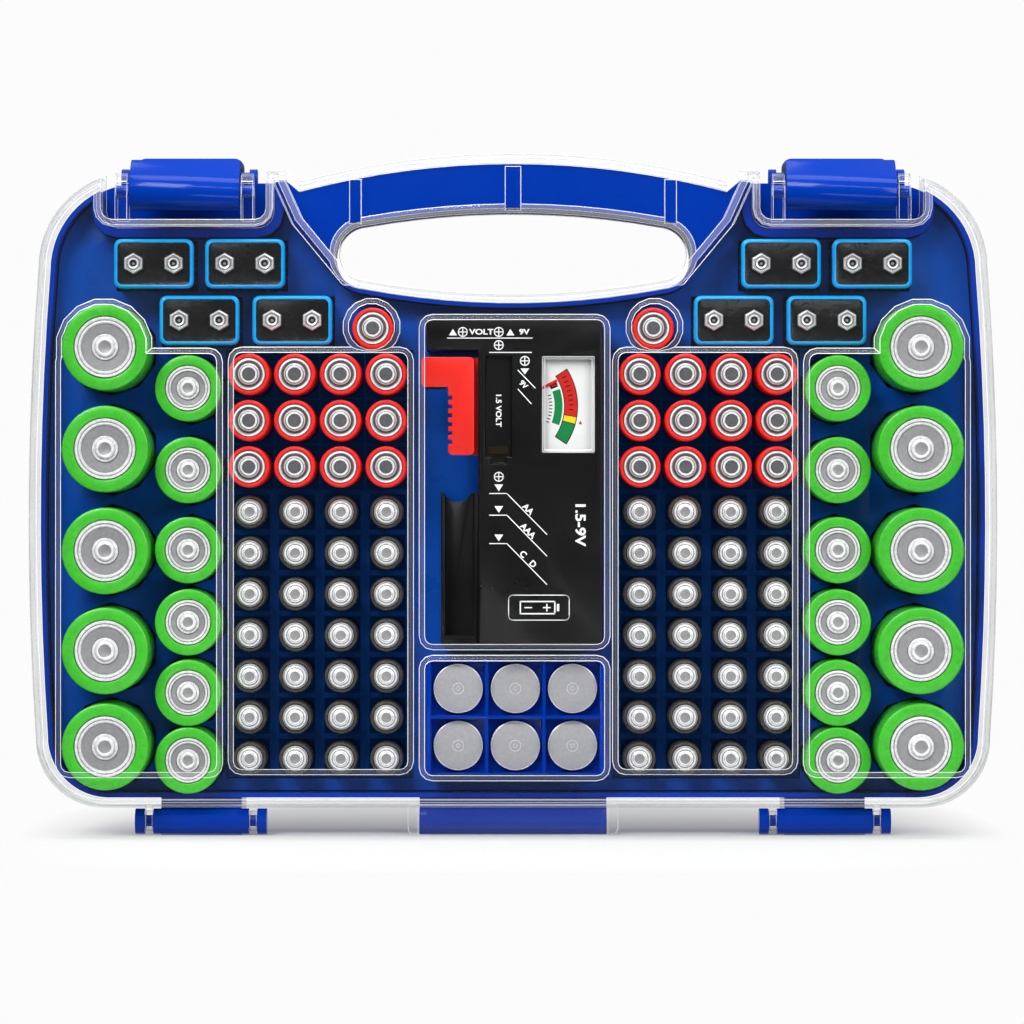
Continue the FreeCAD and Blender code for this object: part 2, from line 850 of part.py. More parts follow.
def aa_cells():
    """The AA cells in the two grids, and the single one above each grid, which stands on the tray's floor."""
    places = both_grids(aa_top, aa_pitch, aa_rows)
    grid = cells(places, aa_radius, aa_length, pocket_stand, small_cell_sides, False)
    places = pairs(single_half, [single_height])
    singles = cells(places, aa_radius, aa_length, tray_stand, small_cell_sides, False)
    return Part.makeCompound(grid.Solids + singles.Solids)


def aaa_cells():
    places = both_grids(aaa_top, aaa_pitch, aaa_rows)
    return cells(places, aaa_radius, aaa_length, pocket_stand, small_cell_sides, False)


def nine_volt_places():
    """Two rows on each side; the lower row keeps clear of the single AA cell beside it."""
    upper, lower = [handle_top - drop for drop in nine_volt_row_drops]
    places = [(half_width_middle - inset, upper) for inset in nine_volt_upper_insets]
    nearest = single_half + aa_radius + nine_volt_half_width + 2 * socket_clearance + pocket_wall
    places += [(half_width_middle - inset, lower) for inset in nine_volt_lower_insets
               if half_width_middle - inset > nearest]
    return [(x, z) for place, z in places for x in both_sides(place)]


def nine_volt_cells():
    solids = []
    bottom = tray_stand
    top = bottom - nine_volt_length + snap_height
    for x, z in nine_volt_places():
        w, h = nine_volt_half_width, nine_volt_half_height
        solids.append(block(x - w, x + w, top, bottom, z - h, z + h))
    return Part.makeCompound(solids)


def nine_volt_snaps():
    solids = []
    top = tray_stand - nine_volt_length + snap_height
    for x, z in nine_volt_places():
        for snap_x in (x - snap_half_pitch, x + snap_half_pitch):
            solids.append(many_sided(snap_x, z, snap_radius, hex_sides, top - snap_height, top))
    return Part.makeCompound(solids)


def coin_places():
    for row in range(coin_rows):
        for column in range(coin_columns):
            yield coin_middle + (column - (coin_columns - 1) / 2) * coin_pitch, coin_top - row * coin_pitch


def coin_tray():
    half = coin_pitch / 2
    places = list(coin_places())
    x0 = min(x for x, z in places) - half - coin_tray_edge
    x1 = max(x for x, z in places) + half + coin_tray_edge
    z0 = min(z for x, z in places) - half
    z1 = max(z for x, z in places) + half
    body = block(x0, x1, coin_tray_y, deck_y, z0, z1)
    pocket = coin_pocket / 2
    pocket_y = coin_tray_y + coin_sink + coin_thickness
    tools = []
    for x, z in places:
        tools.append(block(x - pocket, x + pocket, coin_tray_y - overrun, pocket_y, z - pocket, z + pocket))
    return cut(body, tools)


def coin_cells():
    y1 = coin_tray_y + coin_sink + coin_thickness
    return Part.makeCompound([
        many_sided(x, z, coin_radius, coin_sides, y1 - coin_thickness, y1) for x, z in coin_places()
    ])


def latch(side):
    """One latch: the front bar on its two pins, and the plate that reaches back over the catch bar."""
    x = side * latch_centre
    x0, x1 = x - latch_half, x + latch_half
    y, z = latch_pin_y, latch_pin_z
    under = latch_plate_height - latch_plate
    far = latch_reach
    corners = []
    for number in range(latch_bar_sides + 1):
        angle = math.radians(latch_bar_start + number * (latch_bar_end - latch_bar_start) / latch_bar_sides)
        corners.append((latch_bar_radius * math.cos(angle), latch_bar_radius * math.sin(angle)))
    corners += [
        (latch_rise, latch_plate_height), (far - 2 * latch_lip, latch_plate_height),
        (far - latch_lip, latch_lip_height), (far, latch_lip_height), (far, under), (2 * latch_rise, under),
    ]
    steps = [(None, corner) for corner in corners[1:] + corners[:1]]
    profile = path(corners[0], steps, lambda across, up: point(x0, y + across, z + up))
    bar = Part.Face(profile).extrude(point(x1 - x0, 0, 0))
    pin = rod_x(y, z, latch_pin_radius, x0 - latch_pin_reach, x1 + latch_pin_reach)
    top = z + latch_lip_height
    corners = []
    for edge, inner in ((x0, x0 + latch_corner), (x1, x1 - latch_corner)):
        left, right = min(edge, inner), max(edge, inner)
        square = block(left, right, y, y + far + overrun, top - latch_corner, top + overrun)
        corners.append(square.cut(rod_y(inner, top - latch_corner, latch_corner, y, y + far + overrun)))
    return join([cut(bar, corners), pin])


def screw_places():
    return [(x, z) for x in (tester_left + screw_inset, tester_right - screw_inset)
            for z in (tester_low + screw_inset, tester_high - screw_inset)]


def tester_back():
    """The rear half of the tester's housing, with the trough that the slider's stem runs in."""
    body = join([
        block(tester_left, tester_right, tester_seam_y, deck_y, tester_low, tester_high),
        block(tester_bar_left, tester_left, tester_seam_y, deck_y, tester_bar_low, tester_high),
        block(trough_left, tester_left, trough_face_y, deck_y, tester_low, trough_high),
    ])
    channel = block(trough_left + trough_edge, trough_right, trough_face_y - overrun,
                    trough_face_y + trough_depth, tester_low + ledge_height, trough_high + overrun)
    hollow = block(tester_left + tester_wall, tester_right - tester_wall, tester_seam_y - overrun,
                   deck_y - tester_wall, tester_low + tester_wall, tester_high - tester_wall)
    holes = [many_sided(x, z, screw_radius + screw_clearance, small_sides, tester_seam_y, deck_y + overrun)
             for x, z in screw_places()]
    thumb = rod_y((trough_left + trough_right) / 2, trough_high + thumb_rise, thumb_radius,
                  trough_face_y - overrun, deck_y + overrun)
    return cut(body, [channel, hollow, thumb] + holes)


def tester_front():
    """The front half: the meter's opening, the slot for button cells and the groove that guides the slider."""
    body = join([
        rounded_block(tester_left, tester_right, tester_face_y, tester_seam_y, tester_low, tester_high,
                      tester_corner),
        rounded_block(tester_bar_left, tester_right - tester_wall, tester_face_y, tester_seam_y, tester_bar_low,
                      tester_high, tester_corner),
    ])
    groove = slider_tongue + slider_play
    tools = [
        block(tester_left + groove + tester_wall, tester_right - tester_wall, tester_face_y + tester_front_wall,
              tester_seam_y + overrun, tester_low + tester_wall, tester_high - tester_wall),
        block(meter_left, meter_right, tester_face_y - overrun, tester_face_y + tester_front_wall + wall,
              meter_low, meter_high),
        block(slot_left, slot_right, tester_face_y - overrun, tester_face_y + slot_depth, slot_low, slot_high),
        block(slot_tab_left, slot_tab_right, tester_face_y - overrun, tester_face_y + slot_depth, slot_tab_low,
              slot_low + joint_sink),
        block(tester_left - overrun, tester_left + groove, slider_tongue_front - slider_play,
              slider_tongue_back + slider_play, slider_low - slider_travel - slider_play,
              slider_high + slider_play),
    ]
    return cut(body, tools)


def tester_slider():
    arm = rounded_block(slider_left, slider_right, slider_face_y, slider_back_y, slider_arm_low, slider_high,
                        slider_corner)
    stem = rounded_block(slider_stem_left, slider_right, slider_face_y, slider_back_y, slider_low,
                         slider_high, slider_corner)
    tongue_x = tester_left + slider_tongue
    key = block(slider_right - joint_sink, tongue_x, slider_tongue_front, slider_tongue_back, slider_low,
                slider_high)
    ridges = []
    for number in range(slider_ridges):
        z = slider_ridge_top - number * slider_ridge_pitch
        ridges.append(block(slider_stem_left - slider_ridge / 2, slider_stem_left + slider_ridge,
                            slider_face_y - overrun, slider_back_y + overrun, z - slider_ridge, z))
    return cut(join([arm, stem, key]), ridges)


def slider_contact():
    m = contact_margin
    return block(slider_left + m, slider_stem_left - m, slider_face_y + m, slider_back_y - m,
                 slider_arm_low - contact_thickness, slider_arm_low)


def lower_contact():
    x0, x1 = trough_left + trough_edge + slider_play, trough_right - slider_play
    y1 = trough_face_y + trough_depth - slider_play
    z = tester_low + ledge_height
    return block(x0, x1, trough_face_y, y1, z, z + contact_thickness)


def meter_window():
    f = meter_frame
    c = rest_clearance / 2
    y0 = tester_face_y - meter_proud
    y1 = y0 + meter_proud + meter_pane
    pane = block(meter_left + c, meter_right - c, y0, y1, meter_low + c, meter_high - c)
    dish = block(meter_left + c + f, meter_right - c - f, y0 - overrun, y0 + meter_proud, meter_low + c + f,
                 meter_high - c - f)
    return cut(pane, [dish])


def meter_dial():
    m = dial_margin
    y0 = needle_y + needle_thickness + dial_gap
    return block(meter_left - m, meter_right + m / 2, y0, y0 + dial_thickness, meter_low - m, meter_high + m)


def meter_movement():
    """The coil and magnet block behind the needle; it carries the dial on its right edge."""
    y0 = needle_y + needle_thickness + movement_gap
    body = block(needle_x - movement_half, meter_left - dial_margin, y0, y0 + movement_depth,
                 needle_z - movement_half, needle_z + movement_half)
    dial_y = needle_y + needle_thickness + dial_gap + dial_thickness
    rest = block(meter_left - 3 * dial_margin, meter_right - dial_margin, dial_y, y0 + movement_depth,
                 needle_z - movement_half, needle_z + movement_half)
    bore = rod_y(needle_x, needle_z, needle_pin_radius + needle_pin_clearance, y0 - overrun,
                 y0 + needle_pin_length)
    return cut(join([body, rest]), [bore])


def meter_needle():
    y1 = needle_y + needle_thickness
    half = needle_width / 2
    hand = block(-needle_tail, needle_reach, needle_y, y1, -half, half)
    hand = join([
        hand,
        many_sided(0, 0, needle_hub, small_sides, needle_y, y1),
        rod_y(0, 0, needle_pin_radius, needle_y, y1 + movement_gap + needle_pin_length - needle_thickness),
    ])
    hand.rotate(point(0, 0, 0), point(0, 1, 0), -needle_rest_angle)
    hand.translate(point(needle_x, 0, needle_z))
    return hand


def nine_volt_contacts():
    middle_x = (tester_left + tester_right) / 2
    middle_y = (tester_face_y + tester_seam_y) / 2
    studs = []
    for side in (-1, 1):
        x = middle_x + side * stud_half_pitch
        stud = many_sided(x, 0, stud_radius, small_sides, 0, stud_height)
        stud.rotate(point(x, 0, 0), point(1, 0, 0), 90)
        stud.translate(point(0, middle_y, tester_high))
        studs.append(stud)
    return Part.makeCompound(studs)


def button_contact():
    m = contact_margin
    y1 = tester_face_y + slot_depth
    return block(slot_left + m, slot_right - m, y1 - contact_thickness, y1, slot_low + m, slot_low + 4 * m)


def load_resistor():
    """A ceramic load resistor that lies on the rear housing's floor."""
    x = tester_right - 3 * screw_inset
    z = tester_low + 3 * screw_inset
    floor = deck_y - tester_wall
    return block(x - resistor_length / 2, x + resistor_length / 2, floor - 2 * resistor_radius, floor,
                 z - resistor_radius, z + resistor_radius)


def tester_screws():
    """Four screws from behind hold the two halves together."""
    return Part.makeCompound([
        many_sided(x, z, screw_radius, small_sides, deck_y - screw_length, deck_y) for x, z in screw_places()
    ])


def parts():
    return {
        "tray": tray(),
        "socket_deck": socket_deck(),
        "cell_grid_left": cell_grid(-1),
        "cell_grid_right": cell_grid(1),
        "coin_tray": coin_tray(),
        "cover": cover(),
        "latch_left": latch(-1),
        "latch_right": latch(1),
        "tester_front": tester_front(),
        "tester_back": tester_back(),
        "tester_slider": tester_slider(),
        "slider_contact": slider_contact(),
        "lower_contact": lower_contact(),
        "meter_window": meter_window(),
        "meter_dial": meter_dial(),
        "meter_movement": meter_movement(),
        "meter_needle": meter_needle(),
        "nine_volt_contacts": nine_volt_contacts(),
        "button_contact": button_contact(),
        "load_resistor": load_resistor(),
        "tester_screws": tester_screws(),
        "d_cells": cells(pairs(d_half, d_heights), d_radius, d_length, tray_stand, cell_sides, True),
        "c_cells": cells(pairs(c_half, c_heights), c_radius, c_length, tray_stand, cell_sides, True),
        "aa_cells": aa_cells(),
        "aaa_cells": aaa_cells(),
        "nine_volt_cells": nine_volt_cells(),
        "nine_volt_snaps": nine_volt_snaps(),
        "coin_cells": coin_cells(),
    }


def main():
    os.makedirs("parts", exist_ok=True)
    for name, shape in parts().items():
        shape.exportStep("parts/" + name + ".step")
        box = shape.BoundBox
        print(name, len(shape.Solids), "solids, volume", round(shape.Volume), "valid", shape.isValid(),
              [round(v, 1) for v in (box.XMin, box.XMax, box.YMin, box.YMax, box.ZMin, box.ZMax)])


main()
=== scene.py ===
import json
import math

import bmesh
import bpy
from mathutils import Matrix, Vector


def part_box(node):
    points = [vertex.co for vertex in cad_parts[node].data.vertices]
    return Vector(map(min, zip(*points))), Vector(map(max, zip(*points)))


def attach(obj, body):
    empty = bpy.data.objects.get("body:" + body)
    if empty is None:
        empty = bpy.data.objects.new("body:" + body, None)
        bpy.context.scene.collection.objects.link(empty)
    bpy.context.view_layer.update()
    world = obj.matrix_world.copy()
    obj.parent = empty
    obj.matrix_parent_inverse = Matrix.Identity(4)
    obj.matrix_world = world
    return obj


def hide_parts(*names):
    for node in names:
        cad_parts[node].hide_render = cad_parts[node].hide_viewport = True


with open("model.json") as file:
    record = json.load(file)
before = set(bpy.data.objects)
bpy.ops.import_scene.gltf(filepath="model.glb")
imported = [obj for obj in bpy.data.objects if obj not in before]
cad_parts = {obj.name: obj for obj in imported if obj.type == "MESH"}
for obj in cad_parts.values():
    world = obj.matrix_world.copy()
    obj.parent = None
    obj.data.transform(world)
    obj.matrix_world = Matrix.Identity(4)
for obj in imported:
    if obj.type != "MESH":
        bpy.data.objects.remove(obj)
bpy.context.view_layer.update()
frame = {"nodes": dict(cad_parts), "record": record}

# Shapes are worked out in millimetres and written to meshes in metres.
MM = 0.001

# The camera stands square before the case, so far away that the picture is nearly flat.
SENSOR = 36.0
PHOTO_PIXELS = 1024.0
FOCAL_PIXELS = 5000.0
CAMERA_DISTANCE = 1.875
CAMERA_HEIGHT = 0.1276
SHIFT_PIXELS = (-1.0, -12.0)

WHITE_GROUND = (0.973, 0.973, 0.973, 1.0)


def make_camera():
    data = bpy.data.cameras.new("camera")
    data.sensor_width = SENSOR
    data.lens = FOCAL_PIXELS / PHOTO_PIXELS * SENSOR
    data.shift_x = SHIFT_PIXELS[0] / PHOTO_PIXELS
    data.shift_y = SHIFT_PIXELS[1] / PHOTO_PIXELS
    data.clip_end = 50.0
    camera = bpy.data.objects.new("camera", data)
    bpy.context.scene.collection.objects.link(camera)
    camera.location = (0.0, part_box("cover")[0].y - CAMERA_DISTANCE, CAMERA_HEIGHT)
    camera.rotation_euler = (math.pi / 2, 0.0, 0.0)
    bpy.context.scene.camera = camera


make_camera()
bpy.context.scene.view_settings.view_transform = "Standard"


class Graph:
    """A small builder for the node tree of a material or a world."""

    def __init__(self, owner, output="ShaderNodeOutputMaterial"):
        owner.use_nodes = True
        self.owner = owner
        self.tree = owner.node_tree
        self.tree.nodes.clear()
        self.output = self.node(output)

    def node(self, kind, **values):
        made = self.tree.nodes.new(kind)
        for key, value in values.items():
            setattr(made, key, value)
        return made

    def link(self, source, target):
        self.tree.links.new(source, target)

    def set(self, socket, value):
        if isinstance(value, bpy.types.NodeSocket):
            self.link(value, socket)
        else:
            socket.default_value = value

    def principled(self, **values):
        shader = self.node("ShaderNodeBsdfPrincipled")
        for key, value in values.items():
            self.set(shader.inputs[key.replace("_", " ")], value)
        return shader

    def finish(self, shader):
        self.link(shader.outputs[0], self.output.inputs["Surface"])
        return self.owner

    def coordinates(self):
        return self.node("ShaderNodeTexCoord").outputs["Object"]

    def apart(self, vector):
        made = self.node("ShaderNodeSeparateXYZ")
        self.link(vector, made.inputs[0])
        return made.outputs

    def noise(self, scale, detail, rough):
        made = self.node("ShaderNodeTexNoise")
        made.inputs["Scale"].default_value = scale
        made.inputs["Detail"].default_value = detail
        made.inputs["Roughness"].default_value = rough
        self.link(self.coordinates(), made.inputs["Vector"])
        return made.outputs["Fac"]

    def ramp(self, factor, stops):
        made = self.node("ShaderNodeValToRGB")
        elements = made.color_ramp.elements
        while len(elements) < len(stops):
            elements.new(0.5)
        for element, (position, value) in zip(elements, stops):
            element.position = position
            colour = value if isinstance(value, (tuple, list)) else (value, value, value)
            element.color = (*colour[:3], 1.0)
        self.set(made.inputs[0], factor)
        return made.outputs[0]

    def range(self, value, low, high, out_low, out_high):
        made = self.node("ShaderNodeMapRange")
        self.set(made.inputs[0], value)
        for socket, number in zip(list(made.inputs)[1:5], (low, high, out_low, out_high)):
            socket.default_value = number
        return made.outputs[0]

    def math(self, operation, *values):
        made = self.node("ShaderNodeMath", operation=operation)
        for socket, value in zip(made.inputs, values):
            self.set(socket, value)
        return made.outputs[0]

    def mix_shaders(self, factor, first, second):
        made = self.node("ShaderNodeMixShader")
        self.set(made.inputs[0], factor)
        self.link(first.outputs[0], made.inputs[1])
        self.link(second.outputs[0], made.inputs[2])
        return made

    def bump(self, height, strength, distance):
        made = self.node("ShaderNodeBump")
        made.inputs["Strength"].default_value = strength
        made.inputs["Distance"].default_value = distance
        self.link(height, made.inputs["Height"])
        return made.outputs[0]


def material_graph(name):
    return Graph(bpy.data.materials.new(name))


def rgb(red_part, green_part, blue_part):
    """An sRGB colour of 0 to 255 in linear light."""
    def linear(part):
        part /= 255.0
        return part / 12.92 if part <= 0.04045 else ((part + 0.055) / 1.055) ** 2.4
    return (linear(red_part), linear(green_part), linear(blue_part), 1.0)


def darker(colour, share):
    return [part * share for part in colour[:3]]


def moulded(name, colour, roughness=0.3, deeper=0.8, gloss=0.2, painted_glow=None):
    """Moulded plastic: faint unevenness of colour and gloss, and a fine texture.

    Painted glow is faint light that the plastic gives off of its own, painted light that lifts surfaces
    the lamps leave dim.
    """
    g = material_graph(name)
    cloud = g.noise(28.0, 4.0, 0.55)
    fine = g.noise(1600.0, 2.0, 0.5)
    tone = g.ramp(cloud, [(0.25, darker(colour, deeper)), (0.75, colour)])
    rough = g.range(cloud, 0.3, 0.7, roughness * 0.85, roughness * 1.2)
    texture = g.bump(fine, 0.03, 0.0002)
    shader = g.principled(Base_Color=tone, Roughness=rough, IOR=1.5, Normal=texture)
    shader.inputs["Specular IOR Level"].default_value = gloss
    if painted_glow:
        shader.inputs["Emission Color"].default_value = painted_glow
        shader.inputs["Emission Strength"].default_value = 1.0
    return g.finish(shader)


def clear_plastic(name, alphas, tones, roughness, planes=()):
    """Clear plastic: unseen from the front, and more visible the more it is seen along its surface. Its
    gloss is real. Its whitish veil is a painted reflection, and its tone turns grey as it is seen edge
    on, a painted shade.

    Planes are depths along Y in millimetres, each with the strength of a painted sheen, a white veil for
    reflection, on the moulded surface that ends there.
    """
    g = material_graph(name)
    facing = g.node("ShaderNodeLayerWeight")
    facing.inputs["Blend"].default_value = 0.5
    streak = g.noise(7.0, 3.0, 0.55)
    uneven_veil = g.range(streak, 0.35, 0.65, 0.88, 1.12)
    alpha = g.ramp(facing.outputs["Facing"], alphas)
    if planes:
        depth_here = g.apart(g.coordinates())["Y"]
        for depth, strength in planes:
            there = g.math("COMPARE", depth_here, depth * MM, PLANE_TOLERANCE * MM)
            alpha = g.math("MAXIMUM", alpha, g.math("MULTIPLY", there, strength))
    rough = g.range(streak, 0.3, 0.7, roughness * 0.7, roughness * 1.4)
    tone = g.ramp(facing.outputs["Facing"], tones)
    shader = g.principled(Base_Color=tone, Roughness=rough, IOR=1.49,
                          Alpha=g.math("MULTIPLY", alpha, uneven_veil))
    shader.inputs["Specular IOR Level"].default_value = 0.8
    return g.finish(shader)


def metal(name, colour, roughness):
    """Bare metal of small parts, with a fine grain."""
    g = material_graph(name)
    grain = g.noise(900.0, 3.0, 0.6)
    cloud = g.noise(60.0, 3.0, 0.5)
    tone = g.ramp(cloud, [(0.2, darker(colour, 0.82)), (0.8, colour)])
    rough = g.range(grain, 0.3, 0.7, roughness * 0.8, roughness * 1.3)
    texture = g.bump(grain, 0.12, 0.0001)
    return g.finish(g.principled(Base_Color=tone, Metallic=1.0, Roughness=rough, Normal=texture))


def turned_metal(name, colour, roughness, shine, deeper=0.72, grain=0.1):
    """Drawn steel under a thin dull layer: part metal, part matt, with a fine speckle."""
    g = material_graph(name)
    speck = g.noise(2600.0, 3.0, 0.6)
    cloud = g.noise(700.0, 3.0, 0.6)
    tone = g.ramp(cloud, [(0.3, darker(colour, deeper)), (0.7, colour)])
    rough = g.range(speck, 0.3, 0.7, roughness * 0.85, roughness * 1.25)
    texture = g.bump(speck, grain, 0.00006)
    return g.finish(g.principled(Base_Color=tone, Metallic=shine, Roughness=rough, Normal=texture))


def film(name, colour, roughness=0.28):
    """Printed shrink film: glossy, with a fine wrinkle and slightly uneven ink."""
    g = material_graph(name)
    ink = g.noise(240.0, 4.0, 0.6)
    wrinkle = g.noise(420.0, 2.0, 0.5)
    tone = g.ramp(ink, [(0.25, darker(colour, 0.82)), (0.75, colour)])
    rough = g.range(wrinkle, 0.3, 0.7, roughness * 0.8, roughness * 1.3)
    texture = g.bump(wrinkle, 0.12, 0.00025)
    shader = g.principled(Base_Color=tone, Roughness=rough, IOR=1.5, Normal=texture)
    shader.inputs["Specular IOR Level"].default_value = 0.3
    return g.finish(shader)


# Depths of the cover's moulded fronts, behind its foremost plane, in millimetres.
PLANE_TOLERANCE = 0.15
RIM_PROUD = 1.2
FACE_DEPTH = 2.15
FIELD_DEPTH = 16.75
SKIRT_DEPTH = 22.5
cover_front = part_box("cover")[0].y / MM

blue = moulded("blue_plastic", rgb(0, 48, 152), 0.13, 0.88, 0.13)
# The deck's blue is lighter than the case's blue and glows faintly: painted light where the lamps reach
# little.
blue_painted_light = moulded("blue_plastic_painted_light", rgb(2, 70, 168), 0.3, 0.8, 0.1, rgb(0, 10, 28))
# The cell grids' blue is darker than the case's blue, a painted shade of the deep pockets. It also glows
# faintly, a painted light that lifts them.
blue_painted_shade_and_glow = moulded("blue_plastic_painted_shade_and_glow", rgb(0, 40, 100), 0.45, 0.8, 0.05, rgb(1, 16, 38))
# The cover's white veil on its flats, rims and skirt is a painted reflection and sheen.
clear = clear_plastic(
    "clear_plastic",
    [(0.0, 0.0), (0.08, 0.004), (0.26, 0.055), (0.33, 0.06), (0.6, 0.075), (0.85, 0.18), (1.0, 0.35)],
    [(0.0, (0.95, 0.97, 1.0)), (0.6, (0.8, 0.84, 0.9)), (1.0, (0.45, 0.48, 0.52))], 0.06,
    planes=[(cover_front + FACE_DEPTH, 0.006), (cover_front + FACE_DEPTH - RIM_PROUD, 0.11),
            (cover_front + FIELD_DEPTH - RIM_PROUD, 0.11), (cover_front + SKIRT_DEPTH, 0.02)])
# The rounded edges of the clear parts are nearly opaque: white where they face forwards, a painted
# highlight, and dark grey where seen along, a painted shade.
painted_edge_lines = clear_plastic(
    "painted_edge_lines",
    [(0.0, 0.72), (0.3, 0.8), (0.6, 0.8), (1.0, 0.85)],
    [(0.0, (0.98, 0.99, 1.0)), (0.3, (0.92, 0.94, 0.97)), (0.55, (0.22, 0.24, 0.28)),
     (1.0, (0.18, 0.2, 0.24))], 0.1)
black = moulded("black_plastic", rgb(13, 13, 14))
red = moulded("red_plastic", rgb(212, 38, 30), 0.3, 0.9)
brass = metal("brass", rgb(44, 38, 28), 0.5)
steel = metal("steel", rgb(190, 190, 192), 0.3)
dial_white = moulded("dial_white", rgb(236, 238, 236), 0.6, 0.96)
ceramic = moulded("ceramic", rgb(226, 222, 212), 0.6, 0.9)

# One cell steel at three brightnesses, for painted highlight and painted shade on the rings, and the dark
# seal.
cell_metals = [
    turned_metal("cell_metal_bright", rgb(240, 240, 241), 0.28, 0.3),
    turned_metal("cell_metal_grey", rgb(150, 150, 152), 0.42, 0.5, 0.8),
    turned_metal("cell_metal_dark", rgb(88, 89, 92), 0.5, 0.4),
    moulded("cell_seal", rgb(24, 24, 27), 0.5),
]
coin_face = turned_metal("coin_steel", rgb(166, 166, 168), 0.5, 0.5, 0.88, 0.06)
green_film = film("cell_film_green", rgb(62, 178, 44))
red_film = film("cell_film_red", rgb(232, 40, 34))
black_film = film("cell_film_black", rgb(14, 14, 15), 0.22)
# The AAA cells' film is black. It is drawn lighter, a painted sheen that lets their rims show.
lightened_black_film = film("cell_film_black_lightened", rgb(66, 63, 60), 0.25)
sky_blue = film("nine_volt_rim_blue", rgb(0, 156, 230), 0.2)

finishes = {
    "blue_plastic": blue, "clear_plastic": clear, "black_plastic": black, "red_plastic": red,
    "meter_glass": clear, "dial_card": dial_white, "needle_paint": red, "brass_contact": brass,
    "steel_parts": steel, "ceramic_part": ceramic, "green_jacket": green_film,
    "red_jacket": red_film, "black_jacket": black_film, "nine_volt_jacket": black_film,
    "coin_steel": coin_face,
}
# The deck and the cell grids take blues with painted light and painted shade in place of the plain blue
# plastic.
painted_light_finishes = {
    "socket_deck": blue_painted_light, "cell_grid_left": blue_painted_shade_and_glow, "cell_grid_right": blue_painted_shade_and_glow,
}
CLEAR_NODES = ("cover", "meter_window")


def dress_nodes():
    slots = {row["node"]: row["material_slot"] for row in frame["record"]["subparts"]}
    for name, node in frame["nodes"].items():
        materials = node.data.materials
        materials.clear()
        materials.append(painted_light_finishes.get(name, finishes[slots[name]]))
        if name in CLEAR_NODES:
            materials.append(painted_edge_lines)


dress_nodes()


def add_object(name, mesh, materials, replaces=None):
    """Adds a piece that belongs to the case."""
    piece = bpy.data.objects.new(name, mesh)
    bpy.context.scene.collection.objects.link(piece)
    for material in materials:
        mesh.materials.append(material)
    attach(piece, "case")
    if replaces:
        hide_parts(replaces)


def to_mesh(name, work):
    """Turns a bmesh in millimetres into a mesh in metres."""
    bmesh.ops.scale(work, vec=(MM, MM, MM), verts=work.verts[:])
    mesh = bpy.data.meshes.new(name)
    work.to_mesh(mesh)
    work.free()
    return mesh


def smooth_mesh(name, work, sharp_angle):
    """A mesh that is smooth except along the edges that turn by more than the sharp angle."""
    bmesh.ops.recalc_face_normals(work, faces=work.faces[:])
    limit = math.radians(sharp_angle)
    for face in work.faces:
        face.smooth = True
    for edge in work.edges:
        edge.smooth = not (len(edge.link_faces) == 2 and edge.calc_face_angle(0.0) > limit)
    return to_mesh(name, work)


def islands(node):
    """The boxes of a CAD node's separate solids, in millimetres, sorted by place."""
    mesh = frame["nodes"][node].data
    index, parent, where = {}, [], []
    for vertex in mesh.vertices:
        key = tuple(round(part * 1e6) for part in vertex.co)
        if key not in index:
            index[key] = len(parent)
            parent.append(len(parent))
        where.append(index[key])

    def root(number):
        while parent[number] != number:
            parent[number] = parent[parent[number]]
            number = parent[number]
        return number

    for polygon in mesh.polygons:
        first = root(where[polygon.vertices[0]])
        for corner in polygon.vertices[1:]:
            parent[root(where[corner])] = first
    groups = {}
    for number, vertex in enumerate(mesh.vertices):
        groups.setdefault(root(where[number]), []).append(vertex.co / MM)
    boxes = []
    for points in groups.values():
        low = Vector([min(point[axis] for point in points) for axis in range(3)])
        high = Vector([max(point[axis] for point in points) for axis in range(3)])
        boxes.append((low, high))
    return sorted(boxes, key=lambda box: (round(box[0].z), round(box[0].x)))


def middle(low, high):
    return (low.x + high.x) / 2, (low.z + high.z) / 2


def bridge(work, first, second, material):
    count = len(first)
    for step in range(count):
        following = (step + 1) % count
        corners = (first[step], first[following], second[following], second[step])
        work.faces.new(corners).material_index = material


def fan(work, loop, tip, material):
    for step, corner in enumerate(loop):
        work.faces.new((tip, loop[(step + 1) % len(loop)], corner)).material_index = material


def ring(work, x, z, y, radius, count, shape):
    made = []
    for step in range(count):
        angle = 2 * math.pi * step / count
        reach = radius * shape(angle)
        made.append(work.verts.new((x + reach * math.cos(angle), y, z + reach * math.sin(angle))))
    return made


def round_shape(angle):
    return 1.0


def lathe(work, x, z, front, profile, count, shapes=None):
    """A turned form along Y from the front plane backwards, closed where its profile meets the axis.

    Profile rows are radius, depth, and the material of the surface up to the next row.
    """
    rows = []
    for number, (radius, depth, material) in enumerate(profile):
        if radius == 0:
            rows.append([work.verts.new((x, front + depth, z))])
        else:
            shape = shapes[number] if shapes else round_shape
            rows.append(ring(work, x, z, front + depth, radius, count, shape))
    for first, second, row in zip(rows, rows[1:], profile):
        material = row[2]
        if len(first) == 1:
            fan(work, second, first[0], material)
        elif len(second) == 1:
            fan(work, first, second[0], material)
        else:
            bridge(work, first, second, material)


def quarter_corners(half_x, half_z, corner, steps):
    """Points of a rectangle with round corners, anticlockwise about its own middle."""
    points = []
    for quarter, (side_x, side_z) in enumerate(((1, 1), (-1, 1), (-1, -1), (1, -1))):
        for step in range(steps + 1):
            angle = math.pi / 2 * (quarter + step / steps)
            points.append((side_x * (half_x - corner) + corner * math.cos(angle),
                           side_z * (half_z - corner) + corner * math.sin(angle)))
    return points


# Materials of a cell's surface, in the order of its mesh. Bright, grey and dark are one steel at three
# brightnesses: painted highlight and painted shade on the terminals' rings, beside their real steps. The
# seal is the cell's own dark seal.
BRIGHT, GREY, DARK, SEAL, JACKET = range(5)

